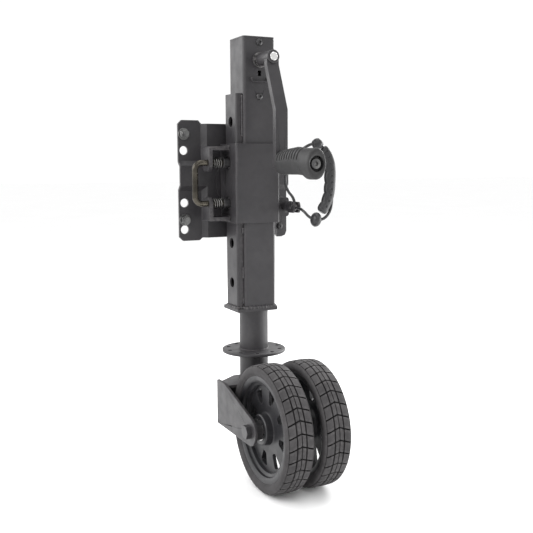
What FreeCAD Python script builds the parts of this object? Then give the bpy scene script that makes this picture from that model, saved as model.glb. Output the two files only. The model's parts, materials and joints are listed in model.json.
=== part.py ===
import FreeCAD, Part
import math
import os

# Swing-up trailer jack with a caster of two solid rubber wheels. Millimetres.
# +X is the jack's right, -Y its front (the crank side), +Z up.
# Drawing frame: the leg's axis is x = y = 0 and the ground is z = 0.
# Every piece is moved to the row's frame as it is written: the row's origin is
# the centre of the two frame bolt holes on the face that meets the trailer.
ROW_ORIGIN = (-130.0, 62.0, 609.0)

# --- sizes the rest follow from ---------------------------------------------
MAST = 70.0              # square mast tube, outside
MAST_WALL = 4.0
MAST_CORNER = 6.0
MAST_Z0, MAST_Z1 = 338.7, 884.5
CAP_TOP = 887.5
CHANNEL_X = -49.0        # outer face of the hole channel on the mast's left
CHANNEL_HALF = 27.5
CHANNEL_WALL = 5.0
CHANNEL_TOP = 775.4
PITCH = 82.3             # height holes
PIN_Z = (637.4, 555.1)
HOLE_Z = (719.7, 637.4, 555.1, 472.8, 390.5)
HOLE_R = 10.3
SLEEVE_Z0, SLEEVE_Z1 = 515.4, 675.4
SLEEVE_WALL = 6.0
SLEEVE_GAP = 1.0
PIVOT_Z = 597.0
PLATE_FRONT = 46.0       # mount plate, front face of its web
SHEET = 6.0
JOGGLE = 10.0
LEG_R = 30.15
LEG_WALL = 4.0
DISC_Z = 241.0
CRANK_Z = 841.0
GRIP_Z = 634.0
GRIP_END_Y = -270.0
ARM_Y = -127.0
LOCK_X, LOCK_Z = 66.0, 546.0
LUG_X = -101.0
LUG_T = 8.0
ROD_R = 6.0
ROD_BEND_X = -127.5
AXLE_Y, AXLE_Z = -163.0, 125.0
AXLE_R = 8.0
TYRE_R = 125.0
TYRE_X0, TYRE_X1 = -68.8, -10.1
RIM_X0, RIM_X1 = -63.5, -15.5
FORK_X = 88.0
FORK_T = 6.0
FIT = 0.05               # radial clearance of a turning or sliding fit
FREE = 0.3               # clearance between faces that move past each other
SEAT_GAP = 0.05          # between a spring's end and its seat

os.makedirs("parts", exist_ok=True)


# --- helpers ----------------------------------------------------------------
def v(x, y, z):
    return FreeCAD.Vector(x, y, z)


X, Y, Z = v(1, 0, 0), v(0, 1, 0), v(0, 0, 1)


def box(x0, x1, y0, y1, z0, z1):
    return Part.makeBox(x1 - x0, y1 - y0, z1 - z0, v(x0, y0, z0))


def rod_x(r, x0, x1, y, z):
    return Part.makeCylinder(r, x1 - x0, v(x0, y, z), X)


def rod_y(r, y0, y1, x, z):
    return Part.makeCylinder(r, y1 - y0, v(x, y0, z), Y)


def rod_z(r, z0, z1, x, y):
    return Part.makeCylinder(r, z1 - z0, v(x, y, z0), Z)


def fuse(items):
    whole = items[0]
    for item in items[1:]:
        whole = whole.fuse(item)
    return whole.removeSplitter()


def prism(points, along):
    """A closed outline of points, pushed along a vector."""
    wire = Part.makePolygon([v(*p) for p in points] + [v(*points[0])])
    return Part.Face(wire).extrude(along)


def hexagon(across, depth, centre, axis):
    """A hexagon prism with flats across and its chamfered corners."""
    r = across / math.sqrt(3)
    points = []
    for k in range(6):
        a = math.radians(60 * k + 30)
        points.append((r * math.cos(a), r * math.sin(a), 0))
    solid = prism(points, v(0, 0, depth))
    cone = Part.makeCone(across / 2 + 0.2 + depth * 1.7, across / 2 + 0.2, depth, v(0, 0, 0), Z)
    solid = solid.common(cone)
    return placed(solid, centre, axis)


def placed(solid, centre, axis):
    """Turn a solid drawn along +Z to lie along axis, and move it to centre."""
    solid = solid.copy()
    solid.Placement = FreeCAD.Placement(v(*centre), FreeCAD.Rotation(Z, axis))
    return solid


def lathe(profile, centre, axis):
    """Turn a closed (radius, length) outline round the axis through centre."""
    wire = Part.makePolygon([v(r, 0, h) for r, h in profile + profile[:1]])
    solid = Part.Face(wire).revolve(v(0, 0, 0), Z, 360)
    return placed(solid, centre, axis)


def rounded_tube(side_x, side_y, corner, z0, z1, cx=0.0, cy=0.0):
    block = box(cx - side_x / 2, cx + side_x / 2, cy - side_y / 2, cy + side_y / 2, z0, z1)
    if corner <= 0:
        return block
    upright = []
    for e in block.Edges:
        if abs(e.tangentAt(e.FirstParameter).z) > 0.9:
            upright.append(e)
    return block.makeFillet(corner, upright)


def helix(mean_r, wire_r, length, turns, centre, axis):
    """A wire coil that fills the given length."""
    pitch = (length - 2 * wire_r) / turns
    path = Part.makeHelix(pitch, pitch * turns, mean_r)
    ring = Part.Wire(Part.makeCircle(wire_r, v(mean_r, 0, 0), Y))
    coil = Part.Wire(path).makePipeShell([ring], True, True)
    coil = Part.Solid(coil) if coil.ShapeType != "Solid" else coil
    return placed(coil, (v(*centre) + axis * wire_r), axis)


def route(points):
    """A wire of straight runs through points with a tangent arc at each corner."""
    edges = []
    start = points[0]
    for i in range(1, len(points) - 1):
        a, b, c = points[i - 1], points[i], points[i + 1]
        u, w = b - a, c - b
        lu, lw = u.Length, w.Length
        u.normalize()
        w.normalize()
        turn = math.acos(max(-1.0, min(1.0, u.dot(w))))
        if turn < 0.01:
            continue
        cut = 0.45 * min(lu, lw)
        p, q = b - u * cut, b + w * cut
        r = cut / math.tan(turn / 2)
        n = (w - u)
        n.normalize()
        middle = b + n * (r / math.cos(turn / 2) - r)
        edges.append(Part.LineSegment(start, p).toShape())
        edges.append(Part.Arc(p, middle, q).toShape())
        start = q
    edges.append(Part.LineSegment(start, points[-1]).toShape())
    return Part.Wire(edges)


def tube_along(wire, r):
    """A round bar of radius r along the wire."""
    first = wire.Edges[0]
    p = first.valueAt(first.FirstParameter)
    t = first.tangentAt(first.FirstParameter)
    ring = Part.Wire(Part.makeCircle(r, p, t))
    bar = wire.makePipeShell([ring], True, True)
    return Part.Solid(bar) if bar.ShapeType != "Solid" else bar


def write(name, solids):
    if not isinstance(solids, list):
        solids = [solids]
    moved = []
    for s in solids:
        for one in s.Solids:
            one = one.copy()
            one.translate(v(-ROW_ORIGIN[0], -ROW_ORIGIN[1], -ROW_ORIGIN[2]))
            moved.append(one)
    shape = moved[0] if len(moved) == 1 else Part.makeCompound(moved)
    shape.exportStep("parts/" + name + ".step")
    print(name, len(moved), round(shape.Volume / 1000.0, 2))


# --- mount: what bolts to the trailer ---------------------------------------
FRAME_HOLES = ((-130.0, 663.0), (-130.0, 555.0), (-130.0, 499.5))
STUDS = ((-130.0, 696.6), (-130.0, 520.0))
FOOT_SCREWS = ((91.0, 499.0), (91.0, 700.0))
FACE_Y = PLATE_FRONT + SHEET + JOGGLE


def frustum(front, back):
    """A block that narrows from the rectangle front to back: (y, x0, x1, z0, z1) each."""
    wires = []
    for y, x0, x1, z0, z1 in (front, back):
        corners = [v(x0, y, z0), v(x1, y, z0), v(x1, y, z1), v(x0, y, z1)]
        wires.append(Part.makePolygon(corners + corners[:1]))
    return Part.makeLoft(wires, True, True)


def mount_plate():
    y0, y1 = PLATE_FRONT, FACE_Y
    outline = [(-134, 476), (-97, 476), (-91, 481.5), (80, 481.5), (85, 476), (96, 476),
               (104.5, 479.5), (108, 488), (108, 713), (104.5, 721.5), (96, 725), (85, 725),
               (80, 718), (-91, 718), (-97, 725), (-134, 725), (-142, 717), (-142, 484)]
    plate = prism([(x, y0, z) for x, z in outline], v(0, y1 - y0, 0))
    far = 400
    y2, y3 = y0 + JOGGLE, y0 + SHEET
    pockets = []
    for low, high, low2, high2 in ((far, 590, far, 580), (632, 900, 642, 900)):
        pockets.append(frustum((y0, -300, -82.5, low, high), (y2, -300, -92.5, low2, high2)))
        pockets.append(frustum((y0, 74, 300, low, high), (y2, 84, 300, low2, high2)))
    pockets.append(frustum((y1, -90, 81.5, 400, 900), (y3, -80, 71.5, 400, 900)))
    pockets.append(frustum((y1, -300, 300, 582.5, 639.5), (y3, -300, 300, 592.5, 629.5)))
    for pocket in pockets:
        plate = plate.cut(pocket)
    for x, z in FRAME_HOLES:
        plate = plate.cut(rod_y(9.0, y0, y1 + 1, x, z))
    for x, z in STUDS:
        plate = plate.cut(rod_y(6.0, y0, y1 + 1, x, z))
    for x, z in FOOT_SCREWS:
        plate = plate.cut(rod_y(4.0, y0, y1 + 1, x, z))
    plate = plate.cut(rod_y(23.0, y0 - 1, y1, 0, PIVOT_Z))
    for x, z in ((LOCK_X, LOCK_Z), (PIVOT_Z - LOCK_Z, PIVOT_Z + LOCK_X)):
        plate = plate.cut(rod_y(6.4, y0 - 1, y1, x, z))
    return plate.removeSplitter()


def mounting_studs():
    return [rod_y(6.0, 40.5, FACE_Y, x, z) for x, z in STUDS]


def stud_washers():
    out = []
    for x, z in STUDS:
        out.append(rod_y(12.0, 53.5, 56.0, x, z).cut(rod_y(6.2, 53, 57, x, z)))
    return out


def stud_nuts():
    out = []
    for x, z in STUDS:
        nut = hexagon(18.0, 8.0, (x, 53.5, z), v(0, -1, 0))
        collar = rod_y(7.6, 42.0, 45.6, x, z)
        out.append(fuse([nut, collar]).cut(rod_y(6.0, 41, 55, x, z)))
    return out


def button_screw(head_r, head_h, shank_r, length, centre, axis, socket):
    """A button-head screw: the head's seat is at centre and axis points out of the head."""
    dome = []
    for k in range(7):
        a = math.radians(15 * k)
        dome.append((head_r * math.cos(a) if k < 6 else 0.0, 0.8 + (head_h - 0.8) * math.sin(a)))
    profile = [(0.0, -length), (shank_r, -length), (shank_r, 0.0), (head_r, 0.0)] + dome
    screw = lathe(profile, (0, 0, 0), Z)
    key = prism([(socket / math.sqrt(3) * math.cos(math.radians(60 * k)),
                  socket / math.sqrt(3) * math.sin(math.radians(60 * k)), head_h - 2.6)
                 for k in range(6)], v(0, 0, 5))
    return placed(screw.cut(key), centre, axis)


def foot_screws():
    y = PLATE_FRONT + JOGGLE
    return [button_screw(7.0, 4.4, 4.0, 6.0, (x, y, z), v(0, -1, 0), 5.0) for x, z in FOOT_SCREWS]


def pivot_bush():
    ring = lathe([(20 + FIT, 0), (23, 0), (23, 6), (29, 6), (29, 8), (20 + FIT, 8)],
                 (0, PLATE_FRONT, PIVOT_Z), Y)
    return ring


# --- bracket: the sleeve that swings on the mount ---------------------------
SLEEVE_X0 = CHANNEL_X - SLEEVE_GAP - SLEEVE_WALL
SLEEVE_X1 = MAST / 2 + SLEEVE_GAP + SLEEVE_WALL
SLEEVE_Y = MAST / 2 + SLEEVE_GAP + SLEEVE_WALL
NOSE_R = 9.8
COLLAR_R = 12.0
SLEEVE_HOLE_R = 13.0


def slide_sleeve():
    wide = SLEEVE_X1 - SLEEVE_X0
    mid = (SLEEVE_X1 + SLEEVE_X0) / 2
    outer = rounded_tube(wide, 2 * SLEEVE_Y, 5.0, SLEEVE_Z0, SLEEVE_Z1, mid, 0)
    inner = rounded_tube(wide - 12, 2 * SLEEVE_Y - 12, 1.0, SLEEVE_Z0 - 1, SLEEVE_Z1 + 1, mid, 0)
    sleeve = outer.cut(inner)
    for z in PIN_Z:
        sleeve = sleeve.cut(rod_x(SLEEVE_HOLE_R, SLEEVE_X0 - 1, SLEEVE_X0 + 7, 0, z))
    return sleeve


def lock_guide_bushes():
    out = []
    x = SLEEVE_X0 + 2.4
    for z in PIN_Z:
        ring = rod_x(SLEEVE_HOLE_R, x, SLEEVE_X0 + 5.8, 0, z)
        out.append(ring.cut(rod_x(NOSE_R + FIT, x - 1, x + 9, 0, z)))
    return out


SPIGOT_SCREWS = 3


def turntable_disc():
    y0 = SLEEVE_Y
    y1 = PLATE_FRONT - FREE
    disc = lathe([(0, 0), (65, 0), (65, y1 - y0 - 0.8), (64.2, y1 - y0), (20, y1 - y0),
                  (20, 12.3), (0, 12.3)], (0, y0, PIVOT_Z), Y)
    for k in range(SPIGOT_SCREWS):
        a = math.radians(90 + 120 * k)
        disc = disc.cut(rod_y(3.0, y0 + 4, 60, 12 * math.cos(a), PIVOT_Z + 12 * math.sin(a)))
    return disc


def pivot_retainer():
    y0 = SLEEVE_Y + 12.3
    ring = rod_y(31.0, y0, y0 + 5, 0, PIVOT_Z)
    for k in range(SPIGOT_SCREWS):
        a = math.radians(90 + 120 * k)
        x, z = 12 * math.cos(a), PIVOT_Z + 12 * math.sin(a)
        ring = ring.cut(rod_y(3.0, y0 - 1, y0 + 6, x, z))
        ring = ring.cut(Part.makeCone(3.0, 6.0, 3.0, v(x, y0 + 2, z), Y))
    return ring


def retainer_screws():
    out = []
    y0 = SLEEVE_Y + 12.3
    for k in range(SPIGOT_SCREWS):
        a = math.radians(90 + 120 * k)
        centre = (12 * math.cos(a), y0 - 8, PIVOT_Z + 12 * math.sin(a))
        screw = lathe([(0, 0), (3, 0), (3, 10), (6, 13), (0, 13)], centre, Y)
        out.append(screw)
    return out


def lock_lug(z_arm0, z_arm1, z_tip, hole_z):
    """An arm out from the sleeve's left wall, bent to a lug that guides one leg of the handle."""
    x0, x1 = LUG_X, SLEEVE_X0
    up = z_tip > z_arm1
    arm = box(x0, x1, -12, 31, z_arm0, z_arm1)
    if up:
        tip = [(-12, z_arm0), (31, z_arm0), (31, z_tip - 12), (19, z_tip), (-2, z_tip), (-12, z_tip - 10)]
    else:
        tip = [(-12, z_arm1), (31, z_arm1), (31, z_tip + 12), (19, z_tip), (-2, z_tip), (-12, z_tip + 10)]
    lug = prism([(x0, y, z) for y, z in tip], v(LUG_T, 0, 0))
    whole = fuse([arm, lug])
    return whole.cut(rod_x(ROD_R + FIT, x0 - 1, x0 + LUG_T + 1, 0, hole_z))


def swing_lock_block():
    block = box(SLEEVE_X1, 77, -15, 40, 525, 565)
    edges = []
    for e in block.Edges:
        m = e.CenterOfMass
        if abs(m.x - 77) < 0.1 and abs(m.y - 12.5) < 0.1:
            edges.append(e)
    block = block.makeFillet(6.0, edges)
    block = block.cut(rod_y(9.2, -9, 41, LOCK_X, LOCK_Z))
    return block.cut(rod_y(6 + FIT, -16, 0, LOCK_X, LOCK_Z))


def swing_lock_bush():
    y1 = PLATE_FRONT - FREE
    ring = lathe([(6 + FIT, -6), (9.2, -6), (9.2, 0), (11, 0), (11, y1 - 40), (6 + FIT, y1 - 40)],
                 (LOCK_X, 40, LOCK_Z), Y)
    return ring


# --- lock handle: the U rod and the two pins it pulls ------------------------
NOSE_X = CHANNEL_X - 0.6


def lock_handle_rod():
    z1, z0 = PIN_Z
    ends = -60.0
    pts = [v(ends, 0, z1), v(ROD_BEND_X, 0, z1), v(ROD_BEND_X, 0, z0), v(ends, 0, z0)]
    bend = 13.5
    a, b, c, d = pts
    s = math.sin(math.radians(45))
    edges = [
        Part.LineSegment(a, v(b.x + bend, 0, z1)).toShape(),
        Part.Arc(v(b.x + bend, 0, z1), v(b.x + bend * (1 - s), 0, z1 - bend * (1 - s)),
                 v(b.x, 0, z1 - bend)).toShape(),
        Part.LineSegment(v(b.x, 0, z1 - bend), v(c.x, 0, z0 + bend)).toShape(),
        Part.Arc(v(c.x, 0, z0 + bend), v(c.x + bend * (1 - s), 0, z0 + bend * (1 - s)),
                 v(c.x + bend, 0, z0)).toShape(),
        Part.LineSegment(v(c.x + bend, 0, z0), d).toShape(),
    ]
    return tube_along(Part.Wire(edges), ROD_R)


def lock_pins():
    out = []
    for z in PIN_Z:
        x0 = -66.0
        pin = lathe([(0, 0), (NOSE_R, 0), (NOSE_R, NOSE_X - x0 - 1.6), (NOSE_R - 1.6, NOSE_X - x0),
                     (0, NOSE_X - x0)], (x0, 0, z), X)
        out.append(pin.cut(rod_x(ROD_R, x0 - 1, -60, 0, z)))
    return out


def lock_collars():
    out = []
    for z in PIN_Z:
        out.append(rod_x(COLLAR_R, -69, -66, 0, z).cut(rod_x(ROD_R, -70, -65, 0, z)))
    return out


def lock_spring(z):
    x0 = LUG_X + LUG_T + SEAT_GAP
    return helix(9.4, 1.3, -69 - SEAT_GAP - x0, 4.5, (x0, 0, z), X)


# --- swing lock plunger with its pull loop -----------------------------------
CLEVIS_Y = -62.0         # the clevis pin's line
SPRING_END = 19.5        # the plunger's collar starts here at rest


def swing_lock_pin():
    y0 = -36.0
    c = SPRING_END - y0
    tip = 45.5 - y0
    return lathe([(0, 0), (6, 0), (6, c), (8.6, c), (8.6, c + 4), (6, c + 4), (6, tip - 1.2),
                  (4.8, tip), (0, tip)], (LOCK_X, y0, LOCK_Z), Y)


def swing_lock_spring():
    return helix(7.5, 0.9, SPRING_END + 9 - 2 * SEAT_GAP, 6.0, (LOCK_X, -9 + SEAT_GAP, LOCK_Z), Y)


def pull_clevis():
    body = rod_y(12.0, -44, -26, LOCK_X, LOCK_Z)
    ears = box(LOCK_X - 8, LOCK_X + 8, -72, -44, LOCK_Z - 11, LOCK_Z + 11)
    ears = ears.common(rod_x(15, LOCK_X - 8, LOCK_X + 8, -57, LOCK_Z))
    whole = fuse([body, ears])
    whole = whole.cut(box(LOCK_X - 4, LOCK_X + 4, -75, -49, LOCK_Z - 20, LOCK_Z + 20))
    whole = whole.cut(rod_y(6.0, -36, -25, LOCK_X, LOCK_Z))
    return whole.cut(rod_x(3.5, LOCK_X - 10, LOCK_X + 10, CLEVIS_Y, LOCK_Z))


def keeper_ring(wire_r):
    """The ring through the pin's end; its hole in the pin is the same ring drawn thicker."""
    return Part.makeTorus(6.2, wire_r, v(LOCK_X - 10.2, CLEVIS_Y, LOCK_Z + 6.2), X)


def clevis_pin():
    pin = rod_x(3.5, LOCK_X - 12.5, LOCK_X + 8, CLEVIS_Y, LOCK_Z)
    head = rod_x(5.5, LOCK_X + 8, LOCK_X + 10.5, CLEVIS_Y, LOCK_Z)
    return fuse([pin, head]).cut(keeper_ring(0.8 + FIT))


def cable_eye():
    """The swaged eye on the clevis pin that both ends of the cable go into."""
    return lathe([(3.5 + FIT, -3.4), (6.2, -3.4), (6.6, -3.0), (6.6, 3.0), (6.2, 3.4), (3.5 + FIT, 3.4)],
                 (LOCK_X, CLEVIS_Y, LOCK_Z), X)


CORD_R = 3.0
LOOP = ((66, -64, 545), (66, -83, 545), (68, -98, 539.5), (75, -106, 527.5), (90, -110, 521.5),
        (108, -111, 523.5), (121.5, -111, 539), (126, -110, 562), (124.5, -109, 585), (124.5, -107, 610),
        (122.5, -105, 636), (116, -104, 658), (103, -104, 672.5), (87, -102, 675.5), (71.5, -92, 667),
        (60, -73, 650), (52, -56, 626), (50, -48, 600), (55, -51, 579), (65, -61, 565), (66, -63, 549))
BALLS = (((89, -110, 522.5), 15.0, 11.0), ((95, -103, 674), 11.5, 11.5))   # place, radius, half length
HANDLE = ((108, -104, 667), (115.5, -104, 656), (119.5, -105, 644), (121.7, -106, 631), (122.3, -107, 616),
          (121.5, -108, 600), (120.2, -109, 583), (117, -110, 569), (111.5, -111, 557), (104.5, -112, 546),
          (98.5, -113, 537.5))
HANDLE_R = 12.0


def loop_wire():
    return route([v(*p) for p in LOOP])


def pull_cord():
    cable = tube_along(loop_wire(), CORD_R)
    return cable.cut(rod_x(6.6, LOCK_X - 5, LOCK_X + 5, CLEVIS_Y, LOCK_Z))


def stop_ball(place, r, half):
    """A knob moulded round the cable, turned about the cable's own direction."""
    line = loop_wire().discretize(Number=900)
    near = min(range(1, 899), key=lambda k: (line[k] - v(*place)).Length)
    along = line[near + 1] - line[near - 1]
    along.normalize()
    profile = [(CORD_R + 0.6, -half * 0.95)]
    for k in range(1, 12):
        a = math.radians(-70 + 140 * k / 12)
        profile.append((r * math.cos(a), half * math.sin(a)))
    profile.append((CORD_R + 0.6, half * 0.95))
    middle = line[near]
    return lathe([(0, -half * 0.95)] + profile + [(0, half * 0.95)], (middle.x, middle.y, middle.z), along)


def cord_balls():
    return [stop_ball(*ball).cut(pull_cord()) for ball in BALLS]


def pull_handle():
    """The curved finger grip on the outer side of the loop, between the two stop balls."""
    wire = route([v(*p) for p in HANDLE])
    bar = tube_along(wire, HANDLE_R)
    bar = bar.cut(pull_cord())
    for place, r, half in BALLS:
        bar = bar.cut(Part.makeSphere(r + FREE, v(*place)))
    for p in wire.discretize(Number=14)[2:-2]:
        bar = bar.cut(rod_y(1.8, p.y - 20, p.y - HANDLE_R + 3, p.x, p.z))
    return bar


# --- mast --------------------------------------------------------------------
def mast_tube():
    inner = MAST - 2 * MAST_WALL
    tube = rounded_tube(MAST, MAST, MAST_CORNER, MAST_Z0, MAST_Z1)
    tube = tube.cut(rounded_tube(inner, inner, MAST_CORNER - MAST_WALL, MAST_Z0 - 1, MAST_Z1 + 1))
    tube = tube.cut(rod_y(12.0, -36, -20, 0, CRANK_Z))
    tube = tube.cut(rod_y(11.0, 20, 36, 0, CRANK_Z))
    for z in (876.0, 769.5):
        tube = tube.cut(rod_y(4.0, -36, -20, 0, z))
    tube = tube.cut(box(-3.0, 4.2, -36, -20, 810, 820.5))
    lip = [(-20, 806.5), (-20, 801), (-16.5, 797.5), (14.5, 797.5), (18, 801), (18, 806.5), (15.5, 806.5),
           (15.5, 802), (13.5, 800), (-15.5, 800), (-17.5, 802), (-17.5, 806.5)]
    return fuse([tube, prism([(x, -34.9, z) for x, z in lip], v(0, -4.6, 0))])


def height_channel():
    y = CHANNEL_HALF
    w = CHANNEL_WALL
    x0, x1 = CHANNEL_X, -MAST / 2
    outer = box(x0, x1, -y, y, MAST_Z0, CHANNEL_TOP)
    edges = []
    for e in outer.Edges:
        m = e.CenterOfMass
        if abs(m.x - x0) < 0.1 and abs(abs(m.y) - y) < 0.1:
            edges.append(e)
    outer = outer.makeFillet(4.0, edges)
    channel = outer.cut(box(x0 + w, x1 + 1, -y + w, y - w, MAST_Z0 - 1, CHANNEL_TOP + 1))
    for z in HOLE_Z:
        channel = channel.cut(rod_x(HOLE_R, x0 - 1, x0 + w + 1, 0, z))
    return channel


def mast_end_plate():
    plate = rounded_tube(91.0, 77.0, 3.0, 332.0, MAST_Z0, -7.0, 0)
    return plate.cut(rod_z(LEG_R + 0.1, 331, 340, 0, 0))


def mast_cap():
    top = rounded_tube(MAST, MAST, MAST_CORNER, MAST_Z1, CAP_TOP)
    plug = rounded_tube(61.6, 61.6, 2.5, 866.0, MAST_Z1)
    plug = plug.cut(rounded_tube(37.6, 37.6, 2.5, 865.0, MAST_Z1 - 3))
    cap = fuse([top, plug])
    return cap.cut(rod_y(4.0, -36, -20.5, 0, 876.0))


def gearbox_screws():
    return [button_screw(7.0, 4.4, 4.0, 14.0, (0, -35, z), v(0, -1, 0), 5.0) for z in (876.0, 769.5)]


def crank_bushes():
    r = 8 + FIT
    front = lathe([(r, 0), (12, 0), (12, 6), (15, 6), (15, 9.5), (r, 9.5)], (0, -29, CRANK_Z), v(0, -1, 0))
    rear = lathe([(r, 0), (14, 0), (14, 3), (11, 3), (11, 7), (r, 7)], (0, 28, CRANK_Z), Y)
    return [front, rear]


def bearing_plate():
    plate = rounded_tube(61.8, 61.8, 2.5, 762.0, 777.0)
    plate = plate.cut(rod_z(10 + FIT, 761, 778, 0, 0))
    return plate.cut(rod_y(4.0, -36, -21, 0, 769.5))


def thrust_bearing():
    return lathe([(10.3, 0), (20, 0), (20, 2.4), (19, 2.4), (19, 3.6), (20, 3.6), (20, 6), (10.3, 6)],
                 (0, 0, 756), Z)


# --- crank -------------------------------------------------------------------
def crank_shaft():
    return lathe([(0, 0), (7, 0), (8, 1), (8, 135.8), (7.2, 136.6), (0, 136.6)], (0, -102, CRANK_Z), Y)


def bevel_pinion():
    return lathe([(8, -26), (11.2, -26), (11.2, -18), (9.3, -15), (8, -15)], (0, 0, CRANK_Z), Y)


def crank_hub():
    return lathe([(8, -99.5), (12, -99.5), (13, -98.5), (13, -47), (12, -46), (8, -46)], (0, 0, CRANK_Z), Y)


def crank_arm():
    t = 12.0
    yb = -90.0
    side = [(yb - t / 2, 826), (yb - t / 2, 836), (yb + t / 2, 836), (yb + t / 2, 824),
            (ARM_Y + t / 2, 735.5), (ARM_Y + t / 2, 600), (ARM_Y - t / 2, 600), (ARM_Y - t / 2, 738)]
    bar = prism([(-13, y, z) for y, z in side], v(26, 0, 0))
    end = fuse([rod_y(13, -160, -60, 0, GRIP_Z), box(-14, 14, -160, -60, GRIP_Z, 850)])
    bar = bar.common(end)
    bar = bar.cut(rod_y(13, -110, -40, 0, CRANK_Z))
    return bar.cut(rod_y(6, -160, -120, 0, GRIP_Z))


GRIP_RECESS = 10.0


def grip_bolt():
    """Fixed in the arm; the grip turns on it and its head sits in the grip's end."""
    y0 = ARM_Y + 6
    neck = y0 - GRIP_END_Y - GRIP_RECESS + FREE
    bolt = lathe([(0, 0), (6, 0), (6, neck), (9.8, neck), (9.8, neck + 5.2), (9, neck + 6), (0, neck + 6)],
                 (0, y0, GRIP_Z), v(0, -1, 0))
    key = prism([(4.6 * math.cos(math.radians(60 * k)), 4.6 * math.sin(math.radians(60 * k)), neck + 2)
                 for k in range(6)], v(0, 0, 6))
    return bolt.cut(placed(key, (0, y0, GRIP_Z), v(0, -1, 0)))


GRIP_FINS = 9
FIN_PITCH = 10.0
FIN_DEPTH = 3.4
# The grip's oval sections: distance from the arm, lowest and highest edge about the bolt, half width.
GRIP_OVALS = ((0, -20, 25, 17.5), (70, -20, 31.5, 18.5), (94, -21.5, 29, 18.5),
              (109, -28.4, 28.4, 19.5), (132, -28.4, 28.4, 19.5))


def grip_oval(y, low, high, half):
    middle = GRIP_Z + (low + high) / 2
    edge = Part.Ellipse(v(0, y, GRIP_Z + high), v(half, y, middle), v(0, y, middle))
    return Part.Wire(edge.toShape())


def grip_body(inset):
    """The grip's oval outline, swelling towards the palm and flared at the free end."""
    y0 = ARM_Y - 6 - FREE
    wires = [grip_oval(y0 - h, low + inset, high - inset, half - inset) for h, low, high, half in GRIP_OVALS]
    wires.append(grip_oval(GRIP_END_Y, -26 + inset, 26 - inset, 17.3 - inset))
    return Part.makeLoft(wires, True, True)


def crank_grip():
    """A moulded oval grip with fins across its upper side and a recess for the bolt's head."""
    y0 = ARM_Y - 6 - FREE
    slots = []
    for k in range(GRIP_FINS):
        y = y0 - 9 - FIN_PITCH * k
        slots.append(box(-30, 30, y - 4.6, y, GRIP_Z + 3, GRIP_Z + 45))
    whole = grip_body(0).cut(fuse(slots).cut(grip_body(FIN_DEPTH)))
    length = y0 - GRIP_END_Y
    bore = lathe([(0, -1), (6 + FIT, -1), (6 + FIT, length - GRIP_RECESS), (14, length - GRIP_RECESS),
                  (14, length + 1), (0, length + 1)], (0, y0, GRIP_Z), v(0, -1, 0))
    return whole.cut(bore)


# --- screw and leg -----------------------------------------------------------
def lead_screw():
    return lathe([(0, 0), (8.5, 0), (10, 2), (10, 389.7), (18, 389.7), (18, 395.7), (10, 395.7), (10, 446),
                  (8, 446), (8, 470), (0, 470)], (0, 0, 360), Z)


def bevel_gear():
    return lathe([(8, 0), (13, 0), (13, 10), (18.6, 12), (18.6, 22), (12.5, 25.6), (8, 25.6)], (0, 0, 806), Z)


def leg_tube():
    return rod_z(LEG_R, 247, 660, 0, 0).cut(rod_z(LEG_R - LEG_WALL, 246, 661, 0, 0))


def leg_nut():
    flange = rounded_tube(61.2, 61.2, 4.0, 660, 672)
    nut = fuse([flange, rod_z(LEG_R - LEG_WALL, 632, 660, 0, 0)])
    return nut.cut(rod_z(10 + FIT, 631, 673, 0, 0))


INDEX_HOLES = 10


def index_disc():
    disc = lathe([(12.1, 0), (66, 0), (67, 1), (67, 5), (66, 6), (12.1, 6)], (0, 0, DISC_Z), Z)
    for k in range(INDEX_HOLES):
        a = math.radians(360.0 * k / INDEX_HOLES)
        disc = disc.cut(rod_z(4.5, DISC_Z - 1, DISC_Z + 7, 55 * math.cos(a), 55 * math.sin(a)))
    return disc


# --- caster fork ---------------------------------------------------------------
CROWN_Z0, CROWN_Z1 = 178.0, 184.0


def swivel_bearing():
    return lathe([(12.1, 0), (29.5, 0), (29.5, 1.5), (28.8, 1.8), (28.8, 2.2), (29.5, 2.5), (29.5, 3.7),
                  (12.1, 3.7)], (0, 0, 237.0), Z)


def fork_stem():
    stem = rod_z(LEG_R, CROWN_Z1, 237, 0, 0)
    stem = stem.cut(rod_z(LEG_R - LEG_WALL, CROWN_Z1 - 1, 229, 0, 0))
    return stem.cut(rod_z(12.0, 228, 238, 0, 0))


def kingpin():
    head = hexagon(36.0, 12.0, (0, 0, 229), v(0, 0, -1))
    return fuse([head, rod_z(12.0, 229, 268, 0, 0)])


def kingpin_nut():
    z0 = DISC_Z + 6 + FREE
    return hexagon(36.0, 18.0, (0, 0, z0), Z).cut(rod_z(12.0, z0 - 1, z0 + 20, 0, 0))


def fork_crown():
    x = FORK_X - FORK_T
    pts = [(-x, -42), (x, -42), (x, -5), (34, 31), (-34, 31), (-x, -5)]
    return prism([(a, b, CROWN_Z0) for a, b in pts], v(0, 0, CROWN_Z1 - CROWN_Z0))


def fork_back_web():
    x = FORK_X - FORK_T
    return box(-x, x, -11, -5, 97, CROWN_Z0)


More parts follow.
